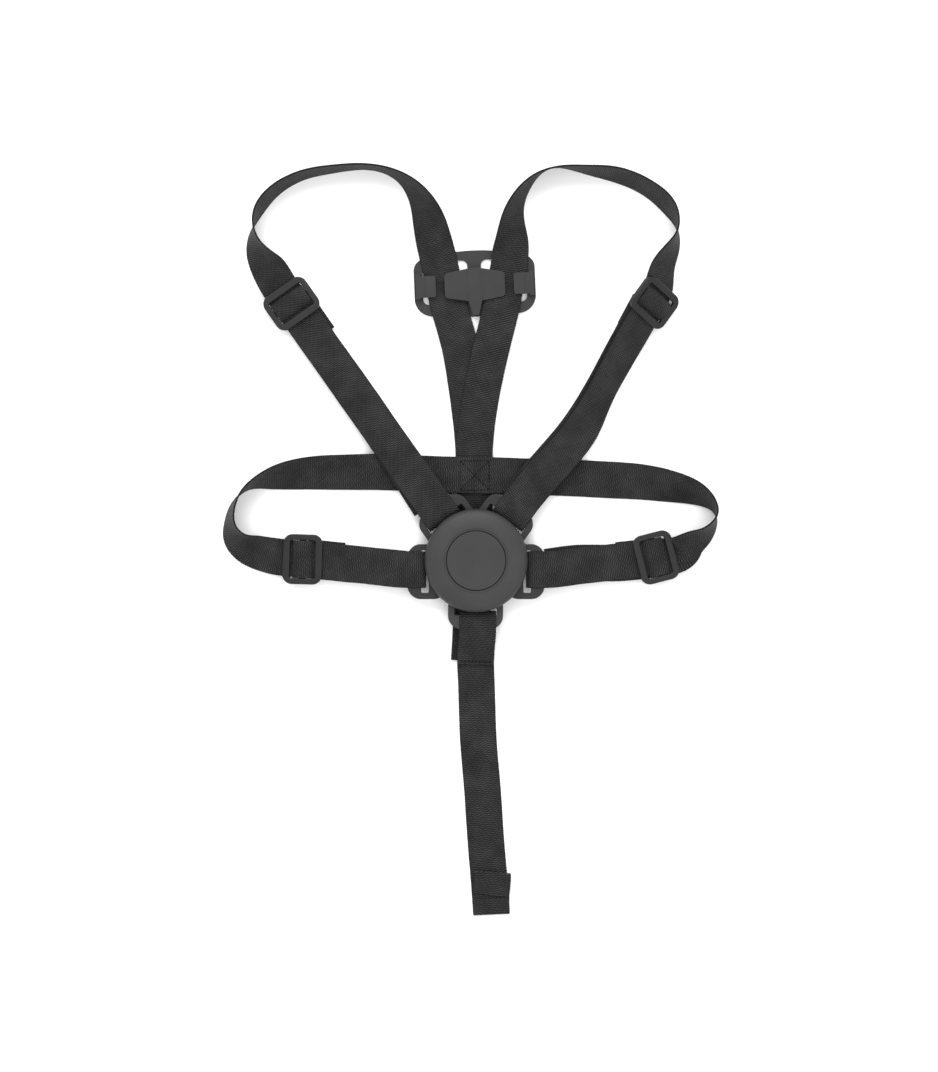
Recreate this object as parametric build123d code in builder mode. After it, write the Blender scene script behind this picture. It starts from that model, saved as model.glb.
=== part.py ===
"""Five-point child harness laid flat: round buckle, four tongues, four strap adjusters, yoke plate, webbing.

Millimetres. +Z is up from the surface the harness lies on, +Y runs from the crotch strap to the shoulders,
and the origin is under the middle of the whole harness.
"""

import os
from math import cos, radians, sin

from build123d import *

# Webbing
web_width = 25.0
web_thick = 1.3
layer_gap = 0.15  # half the space between the two layers of a doubled strap
floor_gap = 0.1
layer_mid = layer_gap + web_thick / 2

# Buckle
buckle_x, buckle_y = 3.4, -14.6
buckle_radius = 35.0
buckle_bottom = 1.8
buckle_top = 21.6
deck_radius = 33.5
deck_top = 7.6
pocket_floor = 3.8
pocket_radius = 11.0
guide_radius = 31.0
guide_top = 11.0
guide_inner = 13.8
cover_bottom = 11.2
cover_wall = 2.0
button_radius = 20.0
button_gap = 0.3
button_travel = 3.0
button_flange = 1.6
button_dish = 0.4
boss_radius = 5.0
screw_orbit = 26.5
screw_angles = (22, 158, 232, 308)
screw_radius = 1.2
screw_head_radius = 2.4
screw_length = 13.1

# Tongues and the loop that is part of the housing share one outline
tongue_thick = 3.0
tongue_bottom = 7.8
tongue_top = tongue_bottom + tongue_thick
tongue_mid = tongue_bottom + tongue_thick / 2
shank_width = 18.0
shank_start = 14.5
shank_gap = 0.3
head_width = 37.4
head_corner = 9.0
tongue_round = 0.6
head_end = 46.5
head_start = 20.0
slot_start, slot_end = 32.2, 37.2
slot_width = 28.8
slot_corner = 0.8
window_start, window_end = 19.0, 24.0
window_width = 8.0
shoulder_angle = 35.5  # tongues lean this far from +Y
waist_drop = 7.5  # waist tongues sit this far below the buckle's centre
tongue_travel = 15.0

# Strap wrapped round a tongue's bar
wrap_inner = 35.5
wrap_outer = 48.0
wrap_top_mid = tongue_top + floor_gap + web_thick / 2
wrap_low_mid = tongue_bottom - floor_gap - web_thick / 2

# Adjusters
adjuster_length = 27.0  # along the strap
adjuster_width = 34.0
adjuster_thick = 2.8
adjuster_corner = 6.5
adjuster_round = 0.8
adjuster_base = 1.9  # height of the frame over the middle of the doubled strap
window_length = 17.4
window_across = 26.0
middle_bar_width = 4.4
middle_bar_thick = 1.1
hump_half = 6.8
hump_rise = 3.1

# Yoke plate
yoke_x, yoke_y = 2.5, 174.1
yoke_tilt = 2.3
yoke_half_width = 41.3
yoke_low = -21.2  # bottom edge at its ends
yoke_foot = -22.6  # and at its middle
yoke_shoulder = 18.0  # top edge at its ends
yoke_crown = 22.6  # and at its middle
yoke_corner = 11.0
yoke_round = 0.5
yoke_base = 1.5
tab_bottom = 4.6
yoke_top = 6.2
yoke_rib_top = 6.7
rail_top = 5.7
yoke_slot_end = 35.4  # outer end of each slot
yoke_rail = 37.2  # inner face of the side rails
yoke_rib = 4.6  # half width of the middle rib
yoke_rib_end = 2.1
slot_low, slot_high = -13.4, 16.0
middle_tab_end = 20.5
side_tab_end = 26.6
side_tab_root = 33.8
tab_high, tab_low = 10.5, -12.0

# V straps, from the stitched box up to the middle of the yoke plate: x, y, height of the middle of the webbing
left_v_route = [
    (2, 34, 0.75),
    (2, 57, 0.75),
    (-3, 104, 1.6),
    (-8.5, 135, 2.35),
    (-15.5, 160, 2.35),
    (-18.6, 174, 2.35),
]
right_v_route = [
    (2.2, 34, 2.15),
    (2.2, 57, 2.15),
    (8, 104, 3.0),
    (15, 135, 3.75),
    (21, 160, 3.75),
    (23.6, 174, 3.75),
]

# Belt behind the waist, spine strap and crotch strap, in the same terms
belt_middle = (2.4, 43.4, 4.95)
left_belt_route = [belt_middle, (-13, 43.6, 4.95), (-46, 45.2, 0.75)]
right_belt_route = [belt_middle, (18, 43.1, 4.95), (51, 42.1, 0.75)]
spine_route = [(2.2, 55, 3.55), (2.2, 33, 3.55), (2.2, 20, 0.75), (0.4, -55, 0.75), (-1.3, -83, 0.75)]
spine_fold_length = 13.0
crotch_turn = 269.4  # the crotch loop points almost straight down
crotch_shift = 1.6
crotch_route = [
    (3.4, -74, 5.2),
    (3.1, -85, 3.55),
    (3.6, -98, 0.75),
    (5.0, -137, 0.75),
    (7.8, -171, 0.75),
    (9.9, -203, 0.75),
    (11.9, -227, 0.75),
    (13.9, -254.5, 0.75),
]
crotch_lap_route = [(3.5, -76, 6.6), (3.1, -85.5, 4.95)]
stop_end = -255.8
stop_fold_length = 27.5
stop_flap_length = 14.0

# Sewing
thread = 0.7
thread_rise = 0.25
box_inset = 2.6  # from the edges of the square where the back straps meet

# Where the straps lie: x, y, height of the lower edge, roll in degrees.
# Roll 0 lies flat, 90 stands on edge, 180 lies flat the other way up.
left_shoulder_loop = [
    (-18.6, 174, 1.7, 0),
    (-22.3, 191, 1.7, 0),
    (-26, 206, 1.7, 14),
    (-31, 224, 0.6, 42),
    (-46, 244.3, floor_gap, 75),
    (-67, 252.4, floor_gap, 86),
    (-92, 251.4, floor_gap, 83),
    (-115, 246.8, floor_gap, 80),
    (-135, 235, floor_gap, 76),
    (-146, 219, floor_gap, 82),
    (-148, 206, floor_gap, 104),
    (-144, 194, floor_gap, 132),
    (-138, 184.5, 0.8, 160),
]
right_shoulder_loop = [
    (23.6, 174, 3.1, 0),
    (26.4, 191, 3.1, 0),
    (27.5, 206, 1.7, 32),
    (29, 222, 0.4, 58),
    (37, 239, floor_gap, 77),
    (53, 251.5, floor_gap, 94),
    (77, 251, floor_gap, 82),
    (100, 247, floor_gap, 70),
    (121, 237.6, floor_gap, 68),
    (136, 223, floor_gap, 72),
    (140.2, 210, floor_gap, 92),
    (136.8, 198.3, floor_gap, 113),
    (130.6, 185.8, floor_gap, 130),
]
left_waist_loop = [
    (-52, 45.5, floor_gap, 4),
    (-85, 45.5, floor_gap, 16),
    (-115, 44.5, floor_gap, 32),
    (-135, 41.5, floor_gap, 55),
    (-152, 35, floor_gap, 84),
    (-161, 24, floor_gap, 98),
    (-163.5, 10, floor_gap, 110),
    (-159, -1, floor_gap, 133),
    (-148, -8, 0.4, 155),
    (-137, -11, 1.2, 170),
]
right_waist_loop = [
    (58, 42, floor_gap, 0),
    (87, 40.7, floor_gap, 2),
    (119, 38.5, floor_gap, 18),
    (141, 34.8, floor_gap, 38),
    (158, 28.5, floor_gap, 62),
    (166.5, 17.5, floor_gap, 88),
    (163.2, 8, floor_gap, 106),
    (155.5, 0.8, floor_gap, 126),
    (148, -4.2, floor_gap, 143),
]
loop_split = {"left_shoulder": 6, "right_shoulder": 6, "left_waist": 4, "right_waist": 4}

# Each doubled strap: where it lies under its adjuster, its roll there, how far the adjuster is turned against it and
# sits off its middle, the straight strap on either side of it, and how far off the slot's middle it ends
straps = {
    "left_shoulder": {
        "at": (-122.1, 160.0, 3.2), "roll": 0, "turn": 0, "off": 0, "lead": 16, "run": 139, "shift": 1.5
    },
    "right_shoulder": {
        "at": (121.8, 162.0, 9.8), "roll": -35, "turn": -9, "off": 1.5, "lead": 8, "run": 80, "shift": -1.6
    },
    "left_waist": {
        "at": (-114.3, -13.8, 3.2), "roll": 0, "turn": 4, "off": 0, "lead": 16, "run": 50, "shift": -1.4
    },
    "right_waist": {
        "at": (125.5, -12.5, 3.2), "roll": 0, "turn": 8, "off": 0, "lead": 13.5, "run": 54, "shift": 1.4
    },
}
# The right shoulder strap runs straight to the first point here, then bends at the others: x, y, middle, roll
right_shoulder_aim = (83.7, 91.6, 9.8)
right_shoulder_bends = [(73.8, 73.1, 8.6, -18), (58.5, 54, 8.3, -8)]
tail_length = 14.0

buckle_axis = Axis((buckle_x, buckle_y, 0), (0, 0, 1))
up = Vector(0, 0, 1)

os.makedirs("parts", exist_ok=True)


def finish(part, name):
    """Labels a finished piece and writes its STEP file."""
    part.label = name
    export_step(part, f"parts/{name}.step")


def buckle_plane(height, turn=0, drop=0):
    """The level plane at a height over the buckle's centre, its X turned from +X and shifted by drop in -Y."""
    heading = radians(turn)
    return Plane(
        origin=(buckle_x, buckle_y - drop, height), x_dir=(cos(heading), sin(heading), 0), z_dir=(0, 0, 1)
    )


# Outward heading and drop of each moving tongue
tongue_places = {
    "left_shoulder": (90 + shoulder_angle, 0),
    "right_shoulder": (90 - shoulder_angle, 0),
    "left_waist": (180, waist_drop),
    "right_waist": (0, waist_drop),
}


def section(origin, along, across):
    """The plane of one cross-section of webbing, its X across the strap and its Z along it."""
    return Plane(origin=origin, x_dir=across, z_dir=along)


def loop_sections(route, side):
    """Section planes for a strap that twists half a turn as it goes round a loop.

    side is 1 where the loop's outside is on the left of the way the strap runs, and -1 where it is on the right.
    """
    centres = []
    for x, y, lift, roll in route:
        rise = web_width / 2 * sin(radians(roll)) + web_thick / 2 * abs(cos(radians(roll)))
        centres.append(Vector(x, y, lift + rise))
    planes = []
    for i, (_, _, _, roll) in enumerate(route):
        along = (centres[min(i + 1, len(route) - 1)] - centres[max(i - 1, 0)]).normalized()
        level = up.cross(along).normalized()
        lean = along.cross(level)
        across = level * cos(radians(roll)) + lean * (side * sin(radians(roll)))
        planes.append(section(centres[i], along, across))
    return planes


def rolled_plane(origin, along, roll):
    """A plane lying in a strap: X along it, Y across it and Z out of it."""
    level = up.cross(along).normalized()
    lean = along.cross(level)
    across = level * cos(radians(roll)) + lean * sin(radians(roll))
    return Plane(origin=origin, x_dir=along, z_dir=along.cross(across))


def strap_head(name):
    """The middle of the doubled strap where it meets its tongue."""
    turn, drop = tongue_places[name]
    return buckle_plane(tongue_mid, turn, drop).from_local_coords(Vector(wrap_outer, straps[name]["shift"], 0))


def strap_frame(name):
    """The frame of the straight part of a doubled strap: origin at the adjuster, X towards the buckle."""
    start = Vector(*straps[name]["at"])
    end = Vector(*right_shoulder_aim) if name == "right_shoulder" else strap_head(name)
    return rolled_plane(start, (end - start).normalized(), straps[name]["roll"])


def bend_planes(name):
    """The planes in the strap where it bends between its straight part and its tongue."""
    if name != "right_shoulder":
        return []
    points = [Vector(*right_shoulder_aim)] + [Vector(x, y, z) for x, y, z, _ in right_shoulder_bends]
    points.append(strap_head(name))
    planes = []
    for i, (_, _, _, roll) in enumerate(right_shoulder_bends):
        planes.append(rolled_plane(points[i + 1], (points[i + 2] - points[i]).normalized(), roll))
    return planes


def straight_section(frame, distance, height):
    """A section of the straight strap, turned over to match the half twist of the loop before it."""
    origin = frame.from_local_coords(Vector(distance, 0, height))
    return section(origin, frame.x_dir, frame.y_dir * -1)


def head_section(turn, drop, height, shift=0):
    """The section where a strap meets its wrap at a bar's outer side."""
    plane = buckle_plane(height, turn, drop)
    return section(plane.from_local_coords(Vector(wrap_outer, shift, 0)), plane.x_dir * -1, plane.y_dir)


def webbing(planes, thick=web_thick):
    """A strap as straight-sided spans from section to section."""
    with BuildPart() as strap:
        for plane in planes:
            with BuildSketch(plane):
                Rectangle(web_width, thick)
        loft(ruled=True)
    return strap.part


def wrap(turn, drop, shift=0):
    """The strap's turn round a tongue's bar: over it, down through the slot and back under it."""
    plane = buckle_plane(0, turn, drop)
    side = Plane(
        origin=plane.from_local_coords(Vector(0, shift, 0)), x_dir=plane.x_dir, z_dir=plane.y_dir * -1
    )
    middle = (wrap_top_mid + wrap_low_mid) / 2
    height = wrap_top_mid - wrap_low_mid
    with BuildPart() as turned:
        with BuildSketch(side):
            with Locations(((wrap_inner + wrap_outer) / 2, middle)):
                Rectangle(wrap_outer - wrap_inner, height + web_thick)
            with Locations(((wrap_inner + web_thick + wrap_outer) / 2, middle)):
                Rectangle(wrap_outer - wrap_inner - web_thick, height - web_thick, mode=Mode.SUBTRACT)
        extrude(amount=web_width / 2, both=True)
    return turned.part


def flat_sections(route):
    """Section planes for a strap that lies flat along points given as x, y and height of its middle."""
    centres = [Vector(*point) for point in route]
    planes = []
    for i, centre in enumerate(centres):
        along = (centres[min(i + 1, len(centres) - 1)] - centres[max(i - 1, 0)]).normalized()
        planes.append(section(centre, along, up.cross(along).normalized()))
    return planes


# ---------------------------------------------------------------- buckle housing, back half
with BuildPart() as buckle_back_housing:
    with BuildSketch(buckle_plane(buckle_bottom)):
        Circle(deck_radius)
    extrude(amount=deck_top - buckle_bottom)
    fillet(buckle_back_housing.edges().group_by(Axis.Z)[0], radius=1.6)
    # guide blocks between the tongues
    with BuildSketch(buckle_plane(deck_top)):
        Circle(guide_radius)
    extrude(amount=guide_top - deck_top)
    with BuildSketch(buckle_plane(deck_top)):
        Circle(guide_inner)
    extrude(amount=guide_top, mode=Mode.SUBTRACT)
    for turn, drop in tongue_places.values():
        with BuildSketch(buckle_plane(deck_top, turn, drop)):
            with Locations((deck_radius, 0)):
                Rectangle(2 * (deck_radius - shank_start + 2), shank_width + 2 * shank_gap)
        extrude(amount=guide_top, mode=Mode.SUBTRACT)
    # the loop for the crotch strap grows out of the guide blocks
    with BuildSketch(buckle_plane(tongue_bottom, crotch_turn)):
        with Locations(((head_start + head_end) / 2, 0)):
            RectangleRounded(head_end - head_start, head_width, head_corner)
        with Locations(((slot_start + slot_end) / 2, 0)):
            RectangleRounded(slot_end - slot_start, slot_width, slot_corner, mode=Mode.SUBTRACT)
    extrude(amount=tongue_thick)
    # pocket and channels for the latch spring
    with BuildSketch(buckle_plane(pocket_floor)):
        Circle(pocket_radius)
    extrude(amount=guide_top, mode=Mode.SUBTRACT)
    for turn, drop in tongue_places.values():
        with BuildSketch(buckle_plane(pocket_floor, turn, drop)):
            with Locations((window_end / 2 + 1, 0)):
                Rectangle(window_end + 4, window_width + 1.5)
        extrude(amount=guide_top, mode=Mode.SUBTRACT)
    # spring seat
    with BuildSketch(buckle_plane(tongue_top)):
        Circle(guide_inner)
        Circle(pocket_radius, mode=Mode.SUBTRACT)
    extrude(amount=guide_top - tongue_top)
    for turn in screw_angles:
        with BuildSketch(buckle_plane(buckle_bottom)):
            with PolarLocations(screw_orbit, 1, start_angle=turn):
                Circle(screw_radius + 0.3)
        extrude(amount=guide_top, mode=Mode.SUBTRACT)
        with BuildSketch(buckle_plane(buckle_bottom)):
            with PolarLocations(screw_orbit, 1, start_angle=turn):
                Circle(screw_head_radius + 0.4)
        extrude(amount=2.0, mode=Mode.SUBTRACT)
finish(buckle_back_housing.part, "buckle_back_housing")

# ---------------------------------------------------------------- buckle front cover
lip_radius = button_radius + 2.0
lip_depth = 0.6
flange_ceiling = 18.4
with BuildPart() as buckle_front_cover:
    with BuildSketch(Plane(origin=(buckle_x, buckle_y, 0), x_dir=(1, 0, 0), z_dir=(0, -1, 0))):
        with BuildLine():
            Line((33.0, cover_bottom), (34.2, cover_bottom))
            ThreePointArc((34.2, cover_bottom), (34.8, cover_bottom + 0.35), (buckle_radius, 12.2))
            Line((buckle_radius, 12.2), (buckle_radius, 14.6))
            Spline(
                (buckle_radius, 14.6), (32.2, 19.3), (26.5, 21.1), (lip_radius, buckle_top),
                tangents=((0, 1), (-1, 0.06)),
            )
            Polyline(
                (lip_radius, buckle_top),
                (lip_radius, buckle_top - lip_depth),
                (button_radius + button_gap + 0.3, buckle_top - lip_depth),
                (button_radius + button_gap, buckle_top - lip_depth - 0.3),
                (button_radius + button_gap, flange_ceiling),
                (24.0, flange_ceiling),
            )
            Spline(
                (24.0, flange_ceiling), (29.6, 17.4), (33.0, 13.6),
                tangents=((1, -0.08), (0, -1)),
            )
            Line((33.0, 13.6), (33.0, cover_bottom))
        make_face()
    revolve(axis=buckle_axis)
    for turn in screw_angles:
        with BuildSketch(buckle_plane(guide_top + 0.05)):
            with PolarLocations(screw_orbit, 1, start_angle=turn):
                Circle(3.0)
        extrude(amount=7.2)
        with BuildSketch(buckle_plane(guide_top)):
            with PolarLocations(screw_orbit, 1, start_angle=turn):
                Circle(screw_radius + 0.05)
        extrude(amount=6.0, mode=Mode.SUBTRACT)
finish(buckle_front_cover.part, "buckle_front_cover")

# ---------------------------------------------------------------- release button
button_top = buckle_top - 0.1
with BuildPart() as release_button:
    with BuildSketch(Plane(origin=(buckle_x, buckle_y, 0), x_dir=(1, 0, 0), z_dir=(0, -1, 0))):
        with BuildLine():
            Line((0, 7.3), (boss_radius - 0.6, 7.3))
            Line((boss_radius - 0.6, 7.3), (boss_radius, 7.9))
            Line((boss_radius, 7.9), (boss_radius, 18.8))
            Line((boss_radius, 18.8), (button_radius - 2.4, 18.8))
            Line((button_radius - 2.4, 18.8), (button_radius - 2.4, 14.8))
            Line((button_radius - 2.4, 14.8), (button_radius + button_flange, 14.8))
            Line((button_radius + button_flange, 14.8), (button_radius + button_flange, 16.2))
            Line((button_radius + button_flange, 16.2), (button_radius, 16.2))
            Line((button_radius, 16.2), (button_radius, button_top - 0.5))
            ThreePointArc(
                (button_radius, button_top - 0.5),
                (button_radius - 0.15, button_top - 0.15),
                (button_radius - 0.5, button_top),
            )
            TangentArc((0, button_top - button_dish), (button_radius - 0.5, button_top), tangent=(1, 0))
            Line((0, button_top - button_dish), (0, 7.3))
        make_face()
    revolve(axis=buckle_axis)
finish(release_button.part, "release_button")

# ---------------------------------------------------------------- button spring
spring_radius = 12.3
spring_wire = 0.5
spring_low = guide_top + 0.55
spring_high = 18.2
with BuildPart() as button_spring:
    with BuildLine() as spring_line:
        Helix(
            pitch=(spring_high - spring_low) / 4,
            height=spring_high - spring_low,
            radius=spring_radius,
            center=(buckle_x, buckle_y, spring_low),
        )
    with BuildSketch(Plane(origin=spring_line.line @ 0, z_dir=spring_line.line % 0)):
        Circle(spring_wire)
    sweep()
finish(button_spring.part, "button_spring")

# ---------------------------------------------------------------- latch spring, one stamped cross
latch_thick = 0.8
latch_top = 7.1
hook_start, hook_end = 20.5, 23.3
hook_width = 6.5
hook_top = 10.2
with BuildPart() as latch_spring:
    with BuildSketch(buckle_plane(latch_top - latch_thick)):
        Circle(pocket_radius - 0.6)
        Circle(3.0, mode=Mode.SUBTRACT)
    extrude(amount=latch_thick)
    for turn, drop in tongue_places.values():
        with BuildSketch(buckle_plane(latch_top - latch_thick, turn, drop)):
            with Locations(((6.5 + hook_end) / 2, 0)):
                Rectangle(hook_end - 6.5, hook_width)
        extrude(amount=latch_thick)
        with BuildSketch(buckle_plane(latch_top - latch_thick, turn, drop)):
            with Locations(((hook_start + hook_end) / 2, 0)):
                Rectangle(hook_end - hook_start, hook_width)
        extrude(amount=hook_top - latch_top + latch_thick)
finish(latch_spring.part, "latch_spring")

# ---------------------------------------------------------------- buckle screws
with BuildPart() as buckle_screws:
    for turn in screw_angles:
        with BuildSketch(buckle_plane(buckle_bottom + 0.3)):
            with PolarLocations(screw_orbit, 1, start_angle=turn):
                Circle(screw_head_radius)
        extrude(amount=1.6)
        with BuildSketch(buckle_plane(buckle_bottom + 1.9)):
            with PolarLocations(screw_orbit, 1, start_angle=turn):
                Circle(screw_radius)
        extrude(amount=screw_length)
        with BuildSketch(buckle_plane(buckle_bottom + 0.3)):
            with PolarLocations(screw_orbit, 1, start_angle=turn):
                Rectangle(3.0, 0.7)
                Rectangle(0.7, 3.0)
        extrude(amount=0.9, mode=Mode.SUBTRACT)
finish(buckle_screws.part, "buckle_screws")

# ---------------------------------------------------------------- tongues
for name, (turn, drop) in tongue_places.items():
    plane = buckle_plane(tongue_bottom, turn, drop)
    centre = plane.to_local_coords(Vector(buckle_x, buckle_y, tongue_bottom))
    with BuildPart() as tongue:
        with BuildSketch(plane):
            with Locations(((head_start + head_end) / 2, 0)):
                RectangleRounded(head_end - head_start, head_width, head_corner)
            with Locations((centre.X, centre.Y)):
                Circle(deck_radius, mode=Mode.SUBTRACT)
            with Locations(((shank_start + slot_start) / 2, 0)):
                Rectangle(slot_start - shank_start, shank_width)
            with Locations(((slot_start + slot_end) / 2, 0)):
                RectangleRounded(slot_end - slot_start, slot_width, slot_corner, mode=Mode.SUBTRACT)
            with Locations(((window_start + window_end) / 2, 0)):
                Rectangle(window_end - window_start, window_width, mode=Mode.SUBTRACT)
        extrude(amount=tongue_thick)
        tops = tongue.edges().group_by(Axis.Z)[-1]
        fillet(tops.filter_by_position(Axis(plane.origin, plane.x_dir), slot_end, head_end + 1), radius=tongue_round)
    finish(tongue.part, f"{name}_tongue")

# ---------------------------------------------------------------- adjusters and the strap humps over them
for name, place in straps.items():
    frame = strap_frame(name)
    heading = frame.x_dir.rotate(Axis((0, 0, 0), frame.z_dir), place["turn"])
    level = Plane(origin=frame.origin + frame.y_dir * place["off"], x_dir=heading, z_dir=frame.z_dir)
    with BuildPart() as adjuster:
        with BuildSketch(level.offset(adjuster_base)):
            RectangleRounded(adjuster_length, adjuster_width, adjuster_corner)
            RectangleRounded(window_length, window_across, 1.5, mode=Mode.SUBTRACT)
        extrude(amount=adjuster_thick)
        top_edges = adjuster.faces().sort_by(Axis(level.origin, level.z_dir))[-1].edges()
        fillet(top_edges, radius=adjuster_round)
        with BuildSketch(level.offset(adjuster_base)):
            Rectangle(middle_bar_width, window_across + 2)
        extrude(amount=middle_bar_thick)
    finish(adjuster.part, f"{name}_adjuster")

    side = Plane(origin=level.origin, x_dir=level.x_dir, z_dir=level.y_dir * -1)
    low = adjuster_base + 0.05
    with BuildPart() as hump:
        with BuildSketch(side):
            with BuildLine():
                ThreePointArc((-hump_half, low), (0, low + hump_rise), (hump_half, low))
                Line((hump_half, low), (hump_half - web_thick, low))
                ThreePointArc(
                    (hump_half - web_thick, low), (0, low + hump_rise - web_thick), (web_thick - hump_half, low)
                )
                Line((web_thick - hump_half, low), (-hump_half, low))
            make_face()
        extrude(amount=web_width / 2, both=True)
    finish(hump.part, f"{name}_crossover")

# ---------------------------------------------------------------- front straps, their returns and loops
for name, place in straps.items():
    frame = strap_frame(name)
    turn, drop = tongue_places[name]
    shift = place["shift"]
    upper = [straight_section(frame, -place["lead"], layer_mid), straight_section(frame, place["run"], layer_mid)]
    lower = [straight_section(frame, 2.0, -layer_mid), straight_section(frame, place["run"], -layer_mid)]
    for plane in bend_planes(name):
        upper.append(straight_section(plane, 0, layer_mid))
        lower.append(straight_section(plane, 0, -layer_mid))
    upper.append(head_section(turn, drop, wrap_top_mid, shift))
    lower.append(head_section(turn, drop, wrap_low_mid, shift))
    with BuildPart() as front_strap:
        add(webbing(upper))
        add(wrap(turn, drop, shift))
    finish(front_strap.part, f"{name}_front_strap")
    finish(webbing(lower), f"{name}_return_strap")

    tail = webbing(
        [
            straight_section(frame, 2.0, -layer_mid - web_thick - 0.05),
            straight_section(frame, 2.0 + adjuster_length / 2 + tail_length - 2, -layer_mid - web_thick - 0.05),
        ],
        web_thick - 0.1,
    )
    finish(tail, f"{name}_strap_tail")

loops = {
    "left_shoulder": (left_shoulder_loop, -1),
    "right_shoulder": (right_shoulder_loop, 1),
    "left_waist": (left_waist_loop, -1),
    "right_waist": (right_waist_loop, 1),
}
for name, (route, side) in loops.items():
    frame = strap_frame(name)
    planes = loop_sections(route, side)
    split = loop_split[name]
    back = [planes[0].offset(0.3)] + planes[1 : split + 1]
    finish(webbing(back), f"{name}_loop_back")
    front = [planes[split].offset(0.3)] + planes[split + 1 :]
    front.append(straight_section(frame, -straps[name]["lead"], layer_mid))
    finish(webbing(front), f"{name}_loop_front")

# ---------------------------------------------------------------- yoke plate
yoke_plane = Plane.XY.rotated((0, 0, yoke_tilt))
yoke_plane.origin = Vector(yoke_x, yoke_y, 0)
with BuildPart() as yoke_plate:
    with BuildSketch(yoke_plane):
        with BuildLine():
            low_corner = yoke_half_width - yoke_corner
            ThreePointArc((-low_corner, yoke_low), (0, yoke_foot), (low_corner, yoke_low))
            TangentArc((low_corner, yoke_low), (yoke_half_width, yoke_low + yoke_corner), tangent=(1, 0.1))
            Line((yoke_half_width, yoke_low + yoke_corner), (yoke_half_width, yoke_shoulder - 8))
            TangentArc((yoke_half_width, yoke_shoulder - 8), (33.5, yoke_shoulder), tangent=(0, 1))
            ThreePointArc((33.5, yoke_shoulder), (0, yoke_crown), (-33.5, yoke_shoulder))
            TangentArc((-yoke_half_width, yoke_shoulder - 8), (-33.5, yoke_shoulder), tangent=(0, 1))
            Line((-yoke_half_width, yoke_shoulder - 8), (-yoke_half_width, yoke_low + yoke_corner))
            TangentArc((-low_corner, yoke_low), (-yoke_half_width, yoke_low + yoke_corner), tangent=(-1, 0.1))
        make_face()
        for side in (-1, 1):
            with Locations((side * (yoke_rib + yoke_slot_end) / 2, (slot_low + slot_high) / 2)):
                RectangleRounded(yoke_slot_end - yoke_rib, slot_high - slot_low, 3.8, mode=Mode.SUBTRACT)
    extrude(amount=yoke_base)
    outline = yoke_plate.faces().sort_by(Axis.Z)[-1].outer_wire()
    fillet(outline.edges(), radius=yoke_round)
    # side rails and middle rib carry the tabs over the straps
    with BuildSketch(yoke_plane):
        for side in (-1, 1):
            with Locations((side * (yoke_rail + yoke_half_width - 1) / 2, -1)):
                Rectangle(yoke_half_width - 1 - yoke_rail, 17)
    extrude(amount=rail_top)
    with BuildSketch(yoke_plane):
        with BuildLine():
            Polyline(
                (-yoke_rib, tab_high),
                (yoke_rib, tab_high),
                (yoke_rib, tab_low),
                (yoke_rib_end, yoke_foot + 1),
                (-yoke_rib_end, yoke_foot + 1),
                (-yoke_rib, tab_low),
                close=True,
            )
        make_face()
    extrude(amount=yoke_rib_top)
    with BuildSketch(yoke_plane.offset(tab_bottom)):
        for side in (-1, 1):
            with BuildLine():
                Polyline(
                    (side * yoke_rib / 2, tab_high),
                    (side * (middle_tab_end - 1.5), tab_high - 3.1),
                    (side * middle_tab_end, tab_high - 4.6),
                    (side * middle_tab_end, tab_low + 4.0),
                    (side * (middle_tab_end - 1.5), tab_low + 2.4),
                    (side * yoke_rib, tab_low),
                    (side * yoke_rib / 2, tab_low),
                    close=True,
                )
            make_face()
            with Locations((side * (side_tab_end + side_tab_root) / 2, -1.2)):
                RectangleRounded(side_tab_root - side_tab_end, 14.6, 1.6)
    extrude(amount=yoke_top - tab_bottom)
    with BuildSketch(yoke_plane.offset(tab_bottom)):
        for side in (-1, 1):
            with Locations((side * (side_tab_root - 2 + yoke_rail + 1) / 2, -1.2)):
                Rectangle(yoke_rail + 3 - side_tab_root, 14.6)
    extrude(amount=rail_top - tab_bottom)
finish(yoke_plate.part, "yoke_plate")

# ---------------------------------------------------------------- straps behind the back
finish(webbing(flat_sections(left_v_route)), "left_v_strap")
finish(webbing(flat_sections(right_v_route)), "right_v_strap")
left_loop_start = loop_sections(left_waist_loop, -1)[0]
right_loop_start = loop_sections(right_waist_loop, 1)[0]
finish(webbing(flat_sections(left_belt_route) + [left_loop_start]), "left_waist_belt")
right_belt = flat_sections(right_belt_route) + [right_loop_start]
finish(webbing(right_belt), "right_waist_belt")

spine_sections = flat_sections(spine_route)
spine_end = spine_sections[-1]
fold_middle = spine_end.origin + up * (web_thick + floor_gap) / 2
with BuildPart() as spine_strap:
    add(webbing(spine_sections))
    with BuildSketch(section(fold_middle, spine_end.z_dir * -1, spine_end.x_dir)):
        Rectangle(web_width, 2 * web_thick + floor_gap)
    extrude(amount=spine_fold_length)
finish(spine_strap.part, "spine_strap")

box_side = web_width - 2 * box_inset
with BuildPart() as back_box_stitching:
    with BuildSketch(Plane(origin=(*belt_middle[:2], belt_middle[2] + web_thick / 2))):
        Rectangle(box_side, box_side)
        Rectangle(box_side - 2 * thread, box_side - 2 * thread, mode=Mode.SUBTRACT)
        for turn in (45, -45):
            Rectangle(box_side * 1.38, thread, rotation=turn)
    extrude(amount=thread_rise)
finish(back_box_stitching.part, "back_box_stitching")

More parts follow.
